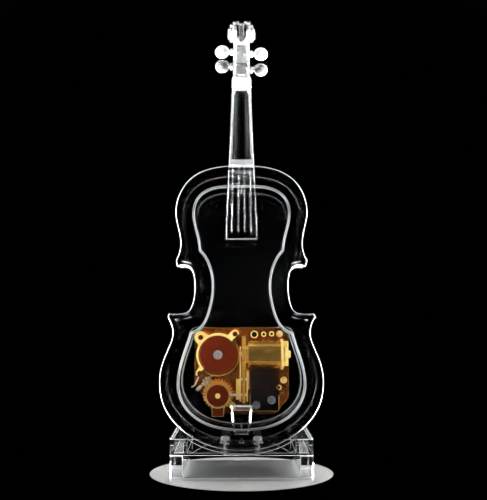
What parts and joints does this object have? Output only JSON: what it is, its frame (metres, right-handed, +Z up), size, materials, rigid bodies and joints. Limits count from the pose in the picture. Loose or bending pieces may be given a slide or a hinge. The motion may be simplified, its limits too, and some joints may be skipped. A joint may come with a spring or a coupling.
{
  "type": "music box",
  "caption": "Clear violin-shaped music box on a clear stand, with a gold-plated wind-up comb movement behind the lower bout and a winding key at the back.",
  "frame": {"origin": "centre of the bounding box on the floor, under the stand", "axes": "+Z up, front faces -Y, +X to the right seen from the front"},
  "size_m": [0.0834, 0.05, 0.2326],
  "materials": {
    "clear_acrylic": "polished, clear",
    "gold_plate": "bright gold plate",
    "comb_steel": "ground, dark",
    "bright_steel": "bright nickel plate",
    "lead": "dull lead grey"
  },
  "bodies": {
    "case": {"front_plate": "clear_acrylic", "rib_left": "clear_acrylic", "rib_right": "clear_acrylic", "chamber_left": "clear_acrylic", "chamber_right": "clear_acrylic", "back_plate": "clear_acrylic", "movement_hatch": "clear_acrylic", "tailpiece": "clear_acrylic", "stand_base": "clear_acrylic", "stand_saddle": "clear_acrylic", "neck_and_scroll": "clear_acrylic", "peg_1": "clear_acrylic", "peg_2": "clear_acrylic", "peg_3": "clear_acrylic", "peg_4": "clear_acrylic", "fingerboard": "clear_acrylic", "nut": "clear_acrylic", "bedplate": "gold_plate", "barrel_cover": "gold_plate", "train_plate_left": "gold_plate", "train_plate_right": "gold_plate", "bearing_right": "gold_plate", "comb_base": "gold_plate", "governor_bracket": "gold_plate", "worm_bearings": "gold_plate", "comb": "comb_steel", "mainspring": "comb_steel", "stand_screws": "bright_steel", "movement_screws": "bright_steel", "cover_screws": "bright_steel", "comb_screws": "bright_steel", "stop_wire": "bright_steel", "comb_weights": "lead"},
    "winder": {"winding_arbor": "bright_steel", "great_wheel": "gold_plate", "ratchet_wheel": "comb_steel", "click": "comb_steel", "winding_key": "bright_steel"},
    "cylinder": {"cylinder_tube": "gold_plate", "cylinder_pins": "bright_steel", "cylinder_caps": "gold_plate", "end_flange": "gold_plate", "cylinder_gear": "gold_plate", "cylinder_pinion": "gold_plate", "cylinder_arbor": "bright_steel"},
    "idler": {"idler_wheel": "gold_plate", "idler_arbor": "bright_steel"},
    "cross": {"cross_wheel": "gold_plate", "cross_pinion": "gold_plate", "cross_arbor": "bright_steel"},
    "governor": {"governor_wheel": "gold_plate", "governor_arbor": "gold_plate"},
    "air_brake": {"governor_worm": "bright_steel", "worm_arbor": "bright_steel", "fly": "bright_steel"}
  },
  "joints": [
    {"name": "key_turn", "type": "hinge", "parent": "case", "child": "winder", "pos_m": [-0.0121, 0, 0.062], "axis": [0, 1, 0], "continuous": true},
    {"name": "cylinder_turn", "type": "hinge", "parent": "case", "child": "cylinder", "pos_m": [0.011, -0.0043, 0.062], "axis": [1, 0, 0], "continuous": true},
    {"name": "idler_turn", "type": "hinge", "parent": "case", "child": "idler", "pos_m": [0.0012, -0.0043, 0.04888], "axis": [1, 0, 0], "continuous": true},
    {"name": "cross_turn", "type": "hinge", "parent": "case", "child": "cross", "pos_m": [0.0012, -0.0043, 0.04081], "axis": [1, 0, 0], "continuous": true},
    {"name": "governor_turn", "type": "hinge", "parent": "case", "child": "governor", "pos_m": [-0.0122, 0, 0.04081], "axis": [0, 1, 0], "continuous": true},
    {"name": "air_brake_turn", "type": "hinge", "parent": "case", "child": "air_brake", "pos_m": [-0.01847, 0.0006, 0.04754], "axis": [0.7314, 0, 0.682], "continuous": true}
  ],
  "couplings": [
    {"joint": "cylinder_turn", "follows": "key_turn", "ratio": -3.3333},
    {"joint": "idler_turn", "follows": "key_turn", "ratio": 7.2727},
    {"joint": "cross_turn", "follows": "key_turn", "ratio": -7.619},
    {"joint": "governor_turn", "follows": "key_turn", "ratio": 3.8095},
    {"joint": "air_brake_turn", "follows": "key_turn", "ratio": -106.67}
  ]
}
